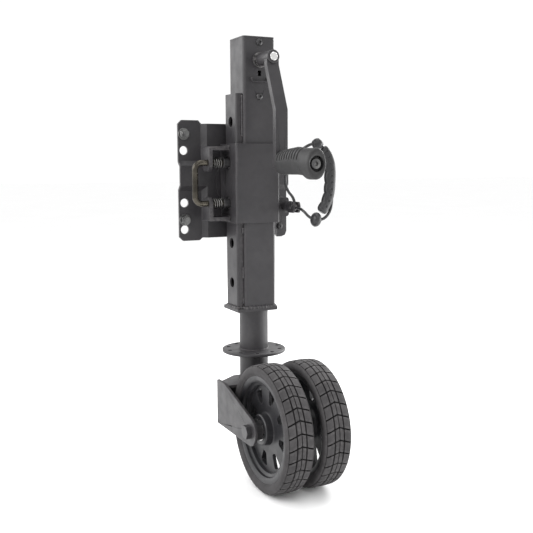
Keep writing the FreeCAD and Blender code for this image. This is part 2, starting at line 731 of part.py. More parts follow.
def fork_side_plate(side):
    """A flat cheek from the crown to the axle, with a round end about the axle."""
    r = 28.0
    top = (-42.0, 190.0)
    dy, dz = top[0] - AXLE_Y, top[1] - AXLE_Z
    far = math.hypot(dy, dz)
    base = math.atan2(dz, dy)
    spread = math.acos(r / far)
    ty = AXLE_Y + r * math.cos(base + spread)
    tz = AXLE_Z + r * math.sin(base + spread)
    x = -FORK_X if side < 0 else FORK_X - FORK_T
    edges = [
        Part.LineSegment(v(x, -5, 97), v(x, -5, 190)).toShape(),
        Part.LineSegment(v(x, -5, 190), v(x, top[0], top[1])).toShape(),
        Part.LineSegment(v(x, top[0], top[1]), v(x, ty, tz)).toShape(),
        Part.Arc(v(x, ty, tz), v(x, AXLE_Y - r, AXLE_Z), v(x, AXLE_Y, AXLE_Z - r)).toShape(),
        Part.LineSegment(v(x, AXLE_Y, AXLE_Z - r), v(x, -5, 97)).toShape(),
    ]
    plate = Part.Face(Part.Wire(edges)).extrude(v(FORK_T, 0, 0))
    return plate.cut(rod_x(AXLE_R, x - 1, x + FORK_T + 1, AXLE_Y, AXLE_Z))


# --- wheels ----------------------------------------------------------------------
HUB_X0, HUB_X1 = -66.0, -8.3


def axle_bolt():
    head = hexagon(24.0, 10.0, (-FORK_X, AXLE_Y, AXLE_Z), v(-1, 0, 0))
    return fuse([head, rod_x(AXLE_R, -FORK_X, 108, AXLE_Y, AXLE_Z)])


def axle_nut():
    nut = hexagon(24.0, 13.0, (91, AXLE_Y, AXLE_Z), X)
    collar = rod_x(9.8, 102, 106, AXLE_Y, AXLE_Z)
    return fuse([nut, collar]).cut(rod_x(AXLE_R, 90, 107, AXLE_Y, AXLE_Z))


def axle_washer():
    return rod_x(15.0, FORK_X, 91, AXLE_Y, AXLE_Z).cut(rod_x(AXLE_R + 0.3, 87, 92, AXLE_Y, AXLE_Z))


def axle_spacers():
    out = []
    for x0, x1, r in ((-82.0, HUB_X0 - FREE, 19.0), (-8.0, 8.0, 12.5), (-HUB_X0 + FREE, 82.0, 19.0)):
        out.append(rod_x(r, x0, x1, AXLE_Y, AXLE_Z).cut(rod_x(AXLE_R, x0 - 1, x1 + 1, AXLE_Y, AXLE_Z)))
    return out


def mirrored(solid):
    return solid.mirror(v(0, 0, 0), X)


def tyre():
    """A solid rubber tyre: straight seat on the rim, round sidewalls and a flat crown."""
    seat = 99.5
    w0, w1 = TYRE_X0, TYRE_X1
    profile = [(seat, RIM_X0 + 3.5), (103.5, RIM_X0), (105.5, w0 + 3.2), (109, w0 + 0.8), (114, w0),
               (118.5, w0 + 1.2), (121.5, w0 + 3.4), (TYRE_R - 1.0, w0 + 8), (TYRE_R, w0 + 16),
               (TYRE_R, w1 - 16), (TYRE_R - 1.0, w1 - 8), (121.5, w1 - 3.4), (118.5, w1 - 1.2),
               (114, w1), (109, w1 - 0.8), (105.5, w1 - 3.2), (103.5, RIM_X1), (seat, RIM_X1 - 3.5)]
    return lathe(profile, (0, AXLE_Y, AXLE_Z), X)


RIM_WINDOWS = 8


def rim():
    """A one-piece rim: rolled edges, a stepped barrel, a windowed web and a long hub."""
    profile = [(20, HUB_X0), (28, HUB_X0), (30, HUB_X0 + 2), (31, -51), (35, -49.5), (84, -47), (85, -54),
               (91, -56), (92, -61), (97, -63.5), (103.5, RIM_X0), (99.5, RIM_X0 + 3.5),
               (99.5, RIM_X1 - 3.5), (103.5, RIM_X1), (97, RIM_X1), (92, RIM_X1 - 3), (90, -34), (84, -40),
               (36, -42), (30, -38), (28, HUB_X1), (20, HUB_X1)]
    solid = lathe(profile, (0, AXLE_Y, AXLE_Z), X)
    for k in range(RIM_WINDOWS):
        a = 360.0 * k / RIM_WINDOWS + 14
        slot = prism([(-60, -6, 50), (-60, 6, 50), (-60, 13, 78), (-60, -13, 78)], v(30, 0, 0))
        slot = slot.makeFillet(4.5, [e for e in slot.Edges if abs(e.tangentAt(e.FirstParameter).x) > 0.9])
        slot.rotate(v(0, 0, 0), X, a)
        slot.translate(v(0, AXLE_Y, AXLE_Z))
        solid = solid.cut(slot)
    return solid


def wheel_bearings():
    out = []
    for x0 in (HUB_X0, HUB_X1 - 12):
        out.append(lathe([(AXLE_R + FIT, 0), (20, 0), (20, 12), (AXLE_R + FIT, 12)],
                         (x0, AXLE_Y, AXLE_Z), X))
    return out


# --- write every piece -----------------------------------------------------------
write("mount_plate", mount_plate())
write("mounting_studs", mounting_studs())
write("stud_nuts", stud_nuts() + stud_washers())
write("foot_screws", foot_screws())
write("pivot_bush", pivot_bush())

write("slide_sleeve", slide_sleeve())
write("lock_guide_bushes", lock_guide_bushes())
write("turntable_disc", turntable_disc())
write("pivot_retainer", pivot_retainer())
write("retainer_screws", retainer_screws())
write("lock_lugs", [lock_lug(662, 670, 620, PIN_Z[0]), lock_lug(520, 528, 568, PIN_Z[1])])
write("swing_lock_block", swing_lock_block())
write("swing_lock_bush", swing_lock_bush())

write("lock_handle_rod", lock_handle_rod())
write("lock_pins", lock_pins())
write("lock_collars", lock_collars())
write("upper_lock_spring", lock_spring(PIN_Z[0]))
write("lower_lock_spring", lock_spring(PIN_Z[1]))

write("swing_lock_pin", swing_lock_pin())
write("swing_lock_spring", swing_lock_spring())
write("pull_clevis", pull_clevis())
write("clevis_pin_and_ring", [clevis_pin(), keeper_ring(0.8)])
write("cable_eye", cable_eye())
write("pull_cord", pull_cord())
write("cord_balls", cord_balls())
write("pull_handle", pull_handle())

write("mast_tube", mast_tube())
write("height_channel", height_channel())
write("mast_end_plate", mast_end_plate())
write("mast_cap", mast_cap())
write("gearbox_screws", gearbox_screws())
write("crank_bushes", crank_bushes())
write("bearing_plate", bearing_plate())
write("thrust_bearing", thrust_bearing())

write("crank_shaft", crank_shaft())
write("bevel_pinion", bevel_pinion())
write("crank_hub", crank_hub())
write("crank_arm", crank_arm())
write("grip_bolt", grip_bolt())
write("crank_grip", crank_grip())

write("lead_screw", lead_screw())
write("bevel_gear", bevel_gear())
write("leg_tube", leg_tube())
write("leg_nut", leg_nut())
write("index_disc", index_disc())

write("swivel_bearing", swivel_bearing())
write("fork_stem", fork_stem())
write("kingpin", kingpin())
write("kingpin_nut", kingpin_nut())
write("fork_crown", fork_crown())
write("fork_back_web", fork_back_web())
write("fork_side_plates", [fork_side_plate(-1), fork_side_plate(1)])
write("axle_bolt", axle_bolt())
write("axle_hardware", [axle_nut(), axle_washer()] + axle_spacers())
write("left_tyre", tyre())
write("left_rim", rim())
write("left_wheel_bearings", wheel_bearings())
write("right_tyre", mirrored(tyre()))
write("right_rim", mirrored(rim()))
write("right_wheel_bearings", [mirrored(b) for b in wheel_bearings()])
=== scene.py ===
import json
import math

import bmesh
import bpy
from mathutils import Matrix, Vector, noise


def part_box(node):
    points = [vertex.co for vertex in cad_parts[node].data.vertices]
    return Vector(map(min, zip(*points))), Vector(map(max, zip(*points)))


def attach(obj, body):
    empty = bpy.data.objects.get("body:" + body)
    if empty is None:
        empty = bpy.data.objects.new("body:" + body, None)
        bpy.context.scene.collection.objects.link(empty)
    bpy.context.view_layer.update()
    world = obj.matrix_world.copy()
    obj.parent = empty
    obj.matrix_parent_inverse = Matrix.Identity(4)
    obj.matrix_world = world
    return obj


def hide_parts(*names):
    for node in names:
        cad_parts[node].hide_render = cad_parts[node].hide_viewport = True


# Swing-up trailer jack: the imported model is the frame, this script dresses it.
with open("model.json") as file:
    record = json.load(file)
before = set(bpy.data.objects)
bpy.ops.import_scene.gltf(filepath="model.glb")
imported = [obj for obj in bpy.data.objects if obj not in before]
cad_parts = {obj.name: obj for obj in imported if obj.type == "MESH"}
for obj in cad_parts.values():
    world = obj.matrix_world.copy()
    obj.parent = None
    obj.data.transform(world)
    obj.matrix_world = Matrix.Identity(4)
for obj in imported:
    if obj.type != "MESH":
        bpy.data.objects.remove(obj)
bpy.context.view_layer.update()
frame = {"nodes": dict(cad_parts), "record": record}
NODES = frame["nodes"]
ROW_ORIGIN = Vector((-130.0, 62.0, 609.0))   # part.py's drawing frame, millimetres
GROUND_Z = -0.609


def at(x, y, z):
    """A point of part.py's drawing frame (mm) in the row frame (m)."""
    return (Vector((x, y, z)) - ROW_ORIGIN) / 1000.0


# --- camera ----------------------------------------------------------------------------------
CAMERA_PLACE = (-711.8, -1515.6, 630.5)
CAMERA_YAW, CAMERA_PITCH, CAMERA_ROLL = 26.11, 6.70, -0.29      # degrees
LENS = 54.2              # mm, on a 36 mm sensor
SHIFT_Y = -0.0118


def make_camera():
    data = bpy.data.cameras.new("camera")
    data.sensor_width = 36.0
    data.lens = LENS
    data.shift_y = SHIFT_Y
    data.clip_start = 0.05
    data.clip_end = 60.0
    cam = bpy.data.objects.new("camera", data)
    yaw, pitch, roll = (math.radians(a) for a in (CAMERA_YAW, CAMERA_PITCH, CAMERA_ROLL))
    turn = Matrix.Rotation(-yaw, 4, "Z") @ Matrix.Rotation(math.pi / 2 - pitch, 4, "X")
    cam.matrix_world = Matrix.Translation(at(*CAMERA_PLACE)) @ turn @ Matrix.Rotation(roll, 4, "Z")
    bpy.context.scene.collection.objects.link(cam)
    bpy.context.scene.camera = cam


# --- the pull loop ---------------------------------------------------------------------------
CORD_D = 0.006
LOOP = ((66, -64, 545), (66, -83, 545), (68, -98, 539.5), (75, -106, 527.5), (90, -110, 521.5),
        (108, -111, 523.5), (121.5, -111, 539), (126, -110, 562), (124.5, -109, 585), (124.5, -107, 610),
        (122.5, -105, 636), (116, -104, 658), (103, -104, 672.5), (87, -102, 675.5), (71.5, -92, 667),
        (60, -73, 650), (52, -56, 626), (50, -48, 600), (55, -51, 579), (65, -61, 565), (66, -63, 549))
STOPS = (((89, -110, 522.5), 14.6, 10.8), ((95, -103, 674), 11.4, 11.4))   # place, radius, half length
HANDLE = ((108, -104, 667), (115.5, -104, 656), (119.5, -105, 644), (121.7, -106, 631), (122.3, -107, 616),
          (121.5, -108, 600), (120.2, -109, 583), (117, -110, 569), (111.5, -111, 557), (104.5, -112, 546),
          (98.5, -113, 537.5))


def smooth_curve(name, points, bevel):
    data = bpy.data.curves.new(name, "CURVE")
    data.dimensions = "3D"
    data.resolution_u = 16
    data.bevel_depth = bevel
    data.bevel_resolution = 5
    data.use_fill_caps = True
    spline = data.splines.new("NURBS")
    spline.points.add(len(points) - 1)
    for p, xyz in zip(spline.points, points):
        p.co = (*at(*xyz), 1.0)
    spline.order_u = 3
    spline.use_endpoint_u = True
    obj = bpy.data.objects.new(name, data)
    bpy.context.scene.collection.objects.link(obj)
    return obj


def line_of(points):
    """The points of a smooth curve's own line, read from a bare copy of it."""
    obj = smooth_curve("bare_line", points, 0.0)
    bpy.context.view_layer.update()
    mesh = bpy.data.meshes.new_from_object(obj)
    line = [v.co.copy() for v in mesh.vertices]
    bpy.data.meshes.remove(mesh)
    bpy.data.objects.remove(obj)
    return line


make_camera()
cable = smooth_curve("pull_cable", LOOP, CORD_D / 2)
LOOP_LINE = line_of(LOOP)
HANDLE_LINE = line_of(HANDLE)


# --- mesh helpers ----------------------------------------------------------------------------
def mesh_object(name, verts, faces, sharp=35.0):
    mesh = bpy.data.meshes.new(name)
    mesh.from_pydata([tuple(v) for v in verts], [], faces)
    bm = bmesh.new()
    bm.from_mesh(mesh)
    bmesh.ops.remove_doubles(bm, verts=bm.verts, dist=1e-6)
    bmesh.ops.recalc_face_normals(bm, faces=bm.faces)
    for e in bm.edges:
        if len(e.link_faces) == 2:
            e.smooth = e.calc_face_angle(0) < math.radians(sharp)
    for f in bm.faces:
        f.smooth = True
    bm.to_mesh(mesh)
    bm.free()
    obj = bpy.data.objects.new(name, mesh)
    bpy.context.scene.collection.objects.link(obj)
    return obj


def ring_faces(rings, count, closed=True, caps=False):
    """Quads between successive rings of count vertices, numbered ring by ring."""
    faces = []
    for i in range(rings - 1):
        for k in range(count if closed else count - 1):
            a, b = i * count + k, i * count + (k + 1) % count
            faces.append((a, b, b + count, a + count))
    if caps:
        faces.append(tuple(reversed(range(count))))
        faces.append(tuple((rings - 1) * count + k for k in range(count)))
    return faces


def resample(points, step, closed=False):
    pts = [Vector(p) for p in points] + ([Vector(points[0])] if closed else [])
    out, carry = [pts[0].copy()], 0.0
    for a, b in zip(pts, pts[1:]):
        d = (b - a).length
        while carry + d >= step:
            t = (step - carry) / d
            a = a.lerp(b, t)
            out.append(a.copy())
            d = (b - a).length
            carry = 0.0
        carry += d
    if closed and (out[-1] - out[0]).length < 0.5 * step:
        out.pop()
    return out


def frames_along(points, closed=False):
    """(point, tangent, side, up) along a line, turned as little as possible."""
    n = len(points)
    out, side = [], None
    for i, p in enumerate(points):
        a = points[(i - 1) % n] if closed or i else points[i]
        b = points[(i + 1) % n] if closed or i < n - 1 else points[i]
        t = (b - a).normalized()
        if side is None:
            side = t.orthogonal().normalized()
        side = (side - t * side.dot(t)).normalized()
        out.append((p, t, side, t.cross(side)))
    return out


# --- materials -------------------------------------------------------------------------------
def shade_tree(name):
    mat = bpy.data.materials.new(name)
    mat.use_nodes = True
    tree = mat.node_tree
    return mat, tree, tree.nodes["Principled BSDF"]


def add(tree, kind, **values):
    node = tree.nodes.new(kind)
    for key, value in values.items():
        if key in node.inputs:
            node.inputs[key].default_value = value
        else:
            setattr(node, key, value)
    return node


def noise_at(tree, scale, detail=4.0, stretch=None):
    where = add(tree, "ShaderNodeTexCoord").outputs["Object"]
    if stretch:
        mapping = add(tree, "ShaderNodeMapping")
        mapping.inputs["Scale"].default_value = stretch
        tree.links.new(where, mapping.inputs["Vector"])
        where = mapping.outputs["Vector"]
    node = add(tree, "ShaderNodeTexNoise", Scale=scale, Detail=detail)
    tree.links.new(where, node.inputs["Vector"])
    return node.outputs["Fac"]


def ramp(tree, source, stops):
    node = add(tree, "ShaderNodeValToRGB")
    el = node.color_ramp.elements
    while len(el) < len(stops):
        el.new(0.5)
    for e, (pos, value) in zip(el, stops):
        e.position = pos
        e.color = (*value, 1.0) if isinstance(value, tuple) else (value, value, value, 1.0)
    tree.links.new(source, node.inputs["Fac"])
    return node.outputs["Color"]


def mix(tree, factor, a, b, blend_type="MIX"):
    node = add(tree, "ShaderNodeMix", data_type="RGBA", blend_type=blend_type)
    for value, socket in ((factor, 0), (a, 6), (b, 7)):
        if isinstance(value, bpy.types.NodeSocket):
            tree.links.new(value, node.inputs[socket])
        elif socket == 0:
            node.inputs[0].default_value = value
        else:
            node.inputs[socket].default_value = (*value, 1.0)
    return node.outputs[2]


def bump(tree, height, strength, distance, under=None):
    node = add(tree, "ShaderNodeBump", Strength=strength, Distance=distance)
    tree.links.new(height, node.inputs["Height"])
    if under:
        tree.links.new(under, node.inputs["Normal"])
    return node.outputs["Normal"]


def finish(name, tone, tone2, rough, metal=0.0, grain=900.0, grain_depth=0.00006, patch=14.0,
           edge=None, edge_at=(0.535, 0.60), streak=None, spec=0.5, lumps=None):
    """A surface with patchy tone, uneven gloss, a fine grain and worn edges."""
    mat, tree, bsdf = shade_tree(name)
    tones = ramp(tree, noise_at(tree, patch, 5.0, streak), [(0.35, tone), (0.68, tone2)])
    smudge = ramp(tree, noise_at(tree, 70.0, 6.0), [(0.42, 0.0), (0.75, 0.35)])
    tones = mix(tree, smudge, tones, tuple(0.6 * c for c in tone))
    if edge:
        geo = add(tree, "ShaderNodeNewGeometry")
        worn = ramp(tree, geo.outputs["Pointiness"], [(edge_at[0], 0.0), (edge_at[1], 0.8)])
        broken = ramp(tree, noise_at(tree, 160.0, 5.0), [(0.40, 0.1), (0.62, 1.0)])
        worn = mix(tree, 1.0, worn, broken, "MULTIPLY")
        tones = mix(tree, worn, tones, edge)
    tree.links.new(tones, bsdf.inputs["Base Color"])
    gloss = ramp(tree, noise_at(tree, 45.0, 5.0, streak), [(0.3, rough - 0.07), (0.7, rough + 0.08)])
    tree.links.new(gloss, bsdf.inputs["Roughness"])
    normal = bump(tree, noise_at(tree, grain, 3.0, streak), 0.5, grain_depth)
    if lumps:
        normal = bump(tree, noise_at(tree, lumps[0], 3.0), 0.6, lumps[1], normal)
    tree.links.new(normal, bsdf.inputs["Normal"])
    bsdf.inputs["Metallic"].default_value = metal
    bsdf.inputs["Specular IOR Level"].default_value = spec
    return mat


def make_materials():
    m = {}
    m["black_powder_coat"] = finish("powder_coat", (0.024, 0.0225, 0.025), (0.033, 0.031, 0.0335), 0.44,
                                    grain=750.0, grain_depth=0.00010, edge=(0.13, 0.12, 0.12), spec=0.42)
    m["plain_powder_coat"] = finish("plain_powder_coat", (0.024, 0.0225, 0.025), (0.033, 0.031, 0.0335), 0.44,
                                    grain=750.0, grain_depth=0.00010, spec=0.42)
    m["zinc_steel"] = finish("zinc", (0.10, 0.10, 0.101), (0.22, 0.22, 0.216), 0.30, metal=0.95,
                             grain=500.0, grain_depth=0.00004, patch=60.0, edge=(0.62, 0.62, 0.60))
    m["black_oxide"] = finish("black_oxide", (0.045, 0.044, 0.046), (0.085, 0.083, 0.085), 0.36, metal=0.7,
                              grain=500.0, grain_depth=0.00005, patch=60.0, edge=(0.30, 0.29, 0.29))
    m["bright_steel"] = finish("bright_steel", (0.66, 0.66, 0.65), (0.80, 0.80, 0.79), 0.24, metal=1.0,
                               grain=420.0, grain_depth=0.00003, patch=30.0, edge=(0.92, 0.92, 0.92))
    m["olive_zinc"] = finish("olive_zinc", (0.040, 0.036, 0.030), (0.095, 0.086, 0.070), 0.24, metal=0.9,
                             grain=520.0, grain_depth=0.00005, patch=30.0, edge=(0.42, 0.38, 0.32))
    m["spring_steel"] = finish("spring_wire", (0.10, 0.098, 0.095), (0.20, 0.195, 0.19), 0.34, metal=0.85,
                               grain=600.0, patch=80.0, edge=(0.45, 0.45, 0.44))
    m["bronze"] = finish("bronze", (0.42, 0.30, 0.15), (0.60, 0.45, 0.25), 0.42, metal=1.0,
                         grain=420.0, grain_depth=0.00006, patch=40.0, edge=(0.8, 0.66, 0.42))
    m["grip_plastic"] = finish("grip_plastic", (0.009, 0.0088, 0.0094), (0.016, 0.0155, 0.0165), 0.58,
                               grain=1100.0, grain_depth=0.00012, edge=(0.085, 0.085, 0.085))
    m["loop_rubber"] = finish("loop_rubber", (0.010, 0.010, 0.0112), (0.018, 0.018, 0.0195), 0.44,
                              grain=900.0, grain_depth=0.00014, edge=(0.075, 0.075, 0.078))
    m["cable_coat"] = finish("cable_coat", (0.014, 0.014, 0.015), (0.026, 0.026, 0.028), 0.30,
                             grain=600.0, grain_depth=0.00012, patch=60.0)
    # A darker rubber for the groove floors: painted shade down in the tread's grooves.
    m["painted_groove_shade"] = finish("painted_groove_shade", (0.010, 0.010, 0.0105), (0.018, 0.0175, 0.018), 0.85,
                              grain=520.0, grain_depth=0.0002, spec=0.15)
    m["tyre_rubber"] = finish("tyre_rubber", (0.031, 0.0292, 0.0304), (0.054, 0.051, 0.0528), 0.72,
                              grain=520.0, grain_depth=0.00022, patch=22.0, edge=(0.12, 0.115, 0.115),
                              edge_at=(0.52, 0.60), spec=0.3, lumps=(95.0, 0.0002))
    m["rim_plastic"] = finish("rim_nylon", (0.0105, 0.0105, 0.0125), (0.018, 0.0175, 0.020), 0.42,
                              grain=650.0, grain_depth=0.00010, edge=(0.085, 0.085, 0.088))
    return m


MATERIALS = make_materials()


def dress(obj, slot):
    """Give a new piece the finish of the given material slot."""
    obj.data.materials.clear()
    obj.data.materials.append(MATERIALS[slot])
    return obj


# A broad plate with vertices only at its edges takes no edge wear, which would spread over its face.
PLAIN_COAT = {"fork_back_web": "plain_powder_coat"}


def dress_cad_nodes():
    for part in frame["record"]["subparts"]:
        obj = NODES[part["node"]]
        surface = PLAIN_COAT.get(part["node"], part["material_slot"])
        for s in obj.material_slots:
            s.link = "OBJECT"
            s.material = MATERIALS[surface]


# --- softened edges on the pressed, sawn and cast pieces -------------------------------------
BEVELS = {
    "mount_plate": 1.6, "slide_sleeve": 0.8, "lock_lugs": 1.2, "swing_lock_block": 1.2, "turntable_disc": 0.5,
    "mast_tube": 0.5, "height_channel": 0.6, "mast_end_plate": 0.9, "mast_cap": 0.7, "crank_arm": 0.7,
    "crank_hub": 0.5, "fork_side_plates": 1.0, "fork_crown": 0.9, "fork_back_web": 0.8, "index_disc": 0.5,
    "left_rim": 1.0, "right_rim": 1.0, "stud_nuts": 0.3, "axle_bolt": 0.4, "axle_hardware": 0.4,
    "pull_clevis": 0.6, "lock_collars": 0.4, "lock_pins": 0.3, "gearbox_screws": 0.25, "foot_screws": 0.25,
    "pivot_retainer": 0.4, "clevis_pin_and_ring": 0.2, "leg_tube": 0.4, "fork_stem": 0.4, "grip_bolt": 0.3,
    "crank_shaft": 0.3, "kingpin": 0.4, "kingpin_nut": 0.4, "mounting_studs": 0.4,
}


def soften():
    for name, width in BEVELS.items():
        obj = NODES[name]
        weld = obj.modifiers.new("weld", "WELD")
        weld.merge_threshold = 2e-6
        bevel = obj.modifiers.new("bevel", "BEVEL")
        bevel.width = width / 1000.0
        bevel.segments = 2
        bevel.limit_method = "ANGLE"
        bevel.angle_limit = math.radians(34.0)
        bevel.use_clamp_overlap = True
        normals = obj.modifiers.new("normals", "WEIGHTED_NORMAL")
        normals.keep_sharp = False


# --- tyres -----------------------------------------------------------------------------------
AXLE = (-163.0, 125.0)
TYRE_R = 125.0
PITCHES = 33
GROOVE = 4.0             # tread depth
SLOT = 3.0               # width of a lateral groove
CHEVRON = 0.34           # how far a lateral groove runs round per mm off centre
TREAD_MID = -39.5
SIDE_PROFILE = ((-60.0, 99.5), (-63.5, 103.2), (-65.2, 104.8), (-65.6, 106.2), (-67.6, 108.4), (-68.5, 111.5),
                (-68.6, 114.5), (-68.0, 117.6), (-66.6, 120.2), (-64.9, 121.7))


def tread_columns():
    """Across the tread: (x, radius, is this line inside a block?) from the left shoulder to the right."""
    half = 24.4
    blocks = ((-half, -11.0), (-8.2, -0.8), (0.8, 8.2), (11.0, half))
    lines = []
    for a, b in blocks:
        lines.append((a - 0.35, False))
        lines.append((a + 0.15, True))
        steps = 3 if b - a > 10 else 2
        for k in range(1, steps):
            lines.append((a + (b - a) * k / steps, True))
        lines.append((b - 0.15, True))
        lines.append((b + 0.35, False))
    return lines


def tyre_mesh(name, side, node, rim_body):
    """side is -1 for the left wheel and 1 for its mirror image."""
    cross = []      # (offset from the tread's middle, radius of a block top, radius of a groove, on a block)
    for x, r in SIDE_PROFILE:
        cross.append((x - TREAD_MID, r, r, None))
    for off, top in tread_columns():
        crown = TYRE_R - 0.0022 * off * off
        if abs(off) > 22:
            crown -= 0.35 * (abs(off) - 22)
        cross.append((off, crown, crown - GROOVE, top))
    for x, r in reversed(SIDE_PROFILE):
        cross.append((-(x - TREAD_MID), r, r, None))
    pitch = 2 * math.pi / PITCHES
    gap = SLOT / TYRE_R
    marks = [0.0, 0.3 / TYRE_R, gap - 0.3 / TYRE_R, gap]
    steps = 7
    stations = [(m, 1 <= i <= 2) for i, m in enumerate(marks)]
    stations += [(gap + (pitch - gap) * k / steps, False) for k in range(1, steps)]
    verts, n = [], 0
    for k in range(PITCHES):
        for a, cut in stations:
            n += 1
            for off, top_r, low_r, block in cross:
                shear = 0.0
                if block is not None:
                    reach = min(abs(off), 24.4)
                    shear = CHEVRON * reach / TYRE_R
                else:
                    fade = max(0.0, 1.0 - (abs(off) - 24.4) / 4.0)
                    shear = CHEVRON * 24.4 / TYRE_R * fade
                r = top_r
                if block is False:
                    r = low_r
                elif block and cut:
                    r = low_r if abs(off) < 24.0 else low_r + 0.6
                ang = k * pitch + a - shear
                verts.append(at(side * (TREAD_MID + off), AXLE[0] - r * math.cos(ang),
                                AXLE[1] + r * math.sin(ang)))
    wide = len(cross)
    faces = []
    for i in range(n):
        j = (i + 1) % n
        for c in range(wide):
            d = (c + 1) % wide
            faces.append((i * wide + c, i * wide + d, j * wide + d, j * wide + c))
    obj = mesh_object(name, verts, faces, 28.0)
    dress(obj, "tyre_rubber")
    # The faces down in the grooves take the darker rubber as painted shade.
    obj.data.materials.append(MATERIALS["painted_groove_shade"])
    hub = at(0, *AXLE)
    for face in obj.data.polygons:
        c = face.center
        if math.hypot(c.y - hub.y, c.z - hub.z) * 1000 < TYRE_R - 0.62 * GROOVE and \
                abs(c.x * 1000 + ROW_ORIGIN.x - side * TREAD_MID) < 23.8:
            face.material_index = 1
    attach(obj, rim_body)
    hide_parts(node)
    return obj


# --- weld beads ------------------------------------------------------------------------------
def weld_bead(name, points, radius, body, closed=False, seed=0.0, slot="black_powder_coat", ragged=0.22):
    """A rippled bead laid along a line of millimetre points."""
    line = resample([at(*p) for p in points], 0.0009, closed)
    verts = []
    sides = 10
    for i, (p, t, s, u) in enumerate(frames_along(line, closed)):
        wave = 0.5 + 0.5 * math.sin(i * 0.9 * 2 * math.pi / 2.9)
        rough = noise.noise(p * 260.0 + Vector((seed, 0, 0)))
        r = radius / 1000.0 * (0.86 + 0.16 * wave + ragged * rough)
        if not closed:
            r *= min(1.0, 0.25 + 0.25 * min(i, len(line) - 1 - i))
        for k in range(sides):
            a = 2 * math.pi * k / sides
            verts.append(p + (s * math.cos(a) + u * math.sin(a)) * r)
    count = len(line)
    faces = ring_faces(count, sides, True, not closed)
    if closed:
        last = (count - 1) * sides
        # the last ring meets the first, whichever way its frame has turned
        shift = min(range(sides), key=lambda q: (verts[last] - verts[q]).length)
        for k in range(sides):
            a, b = last + k, last + (k + 1) % sides
            faces.append((a, b, (k + 1 + shift) % sides, (k + shift) % sides))
    obj = mesh_object(name, verts, faces, 60.0)
    dress(obj, slot)
    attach(obj, body)
    return obj


def arc_points(centre, radius, z, start=0.0, end=360.0, count=72):
    out = []
    for k in range(count + (0 if end - start >= 360 else 1)):
        a = math.radians(start + (end - start) * k / count)
        out.append((centre[0] + radius * math.cos(a), centre[1] + radius * math.sin(a), z))
    return out


def straight_weld(name, start, end, radius, body, seed):
    weld_bead(name, [start, end], radius, body, False, seed)


def make_welds():
    """The bead round the mast's foot is the coarse one; the others are small and even."""
    outline = [(-33, -35.3), (33, -35.3), (35.3, -33), (35.3, 33), (33, 35.3), (-33, 35.3), (-35.3, 33),
               (-37, 27.8), (-47, 27.8), (-49.3, 25), (-49.3, -25), (-47, -27.8), (-37, -27.8), (-35.3, -33)]
    weld_bead("weld_mast_foot", [(x, y, 339.6) for x, y in outline], 3.9, "mast", True, 3.0, ragged=0.40)
    weld_bead("weld_disc_top", arc_points((0, 0), 30.6, 247.3), 1.7, "leg", True, 5.0)
    weld_bead("weld_stem_foot", arc_points((0, 0), 30.9, 184.4), 2.2, "caster_fork", True, 7.0)
    tacks = ((688, 773), (492, 508), (400, 426), (346, 362))
    for k, (z0, z1) in enumerate(tacks):
        for y, tag, seed in ((-28.6, "", k), (28.6, "back_", k + 9)):
            straight_weld(f"weld_channel_{tag}{k + 1}", (-36.2, y, z0), (-36.2, y, z1), 2.4, "mast", seed)
    for k, (z0, z1) in enumerate(((662, 670), (520, 528))):
        for z, tag, radius, seed in ((z1 + 0.4, "top", 2.2, k + 20), (z0 - 0.4, "under", 2.0, k + 30)):
            straight_weld(f"weld_lug_{tag}_{k + 1}", (-56.4, -11, z), (-56.4, 30, z), radius, "bracket", seed)
    straight_weld("weld_block_front", (43, -15.3, 527), (43, -15.3, 563), 2.0, "bracket", 41.0)
    straight_weld("weld_block_top", (43, -14, 565.3), (43, 38, 565.3), 2.0, "bracket", 42.0)
    straight_weld("weld_block_under", (43, -14, 524.7), (43, 38, 524.7), 2.0, "bracket", 43.0)
    for side, tag in ((-1, "left"), (1, "right")):
        x, x_back = side * 81.6, side * 81.8
        straight_weld(f"weld_crown_{tag}", (x, -40, 184.4), (x, -7, 184.4), 1.9, "caster_fork", 50 + side)
        straight_weld(f"weld_web_{tag}", (x, -11.4, 100), (x, -11.4, 176), 1.9, "caster_fork", 60 + side)
        straight_weld(f"weld_web_back_{tag}", (x_back, -4.8, 100), (x_back, -4.8, 176), 1.5, "caster_fork",
                      70 + side)
    straight_weld("weld_crown_web", (-80, -11.2, 177.7), (80, -11.2, 177.7), 1.8, "caster_fork", 75.0)
    straight_weld("weld_hub_left", (-11.6, -84.2, 833.6), (-11.6, -95.6, 833.6), 1.6, "crank", 80.0)
    straight_weld("weld_hub_right", (11.6, -84.2, 833.6), (11.6, -95.6, 833.6), 1.6, "crank", 81.0)


# --- the crank's grip ------------------------------------------------------------------------
# Oval sections: distance from the arm, lowest and highest edge about the bolt, half width.
GRIP_OVALS = ((0.0, -20.0, 25.0, 17.5), (35.0, -20.0, 29.0, 18.2), (70.0, -20.0, 31.5, 18.5),
              (94.0, -21.5, 29.0, 18.5), (109.0, -28.4, 28.4, 19.5), (132.0, -28.4, 28.4, 19.5),
              (140.0, -28.4, 28.4, 19.5))
GRIP_BOLT_Z = 634.0
GRIP_AROUND = 96
FIN_FIRST, FIN_PITCH, FIN_COUNT, FIN_DEPTH = 9.0, 10.0, 9, 3.2
RECESS_R, RECESS_DEPTH = 14.0, 10.0
BORE_R = 6.2


def grip_section(h):
    """The oval at a distance h from the arm."""
    for a, b in zip(GRIP_OVALS, GRIP_OVALS[1:]):
        if h <= b[0]:
            f = (h - a[0]) / (b[0] - a[0])
            return [p + (q - p) * f for p, q in zip(a[1:], b[1:])]
    return GRIP_OVALS[-1][1:]


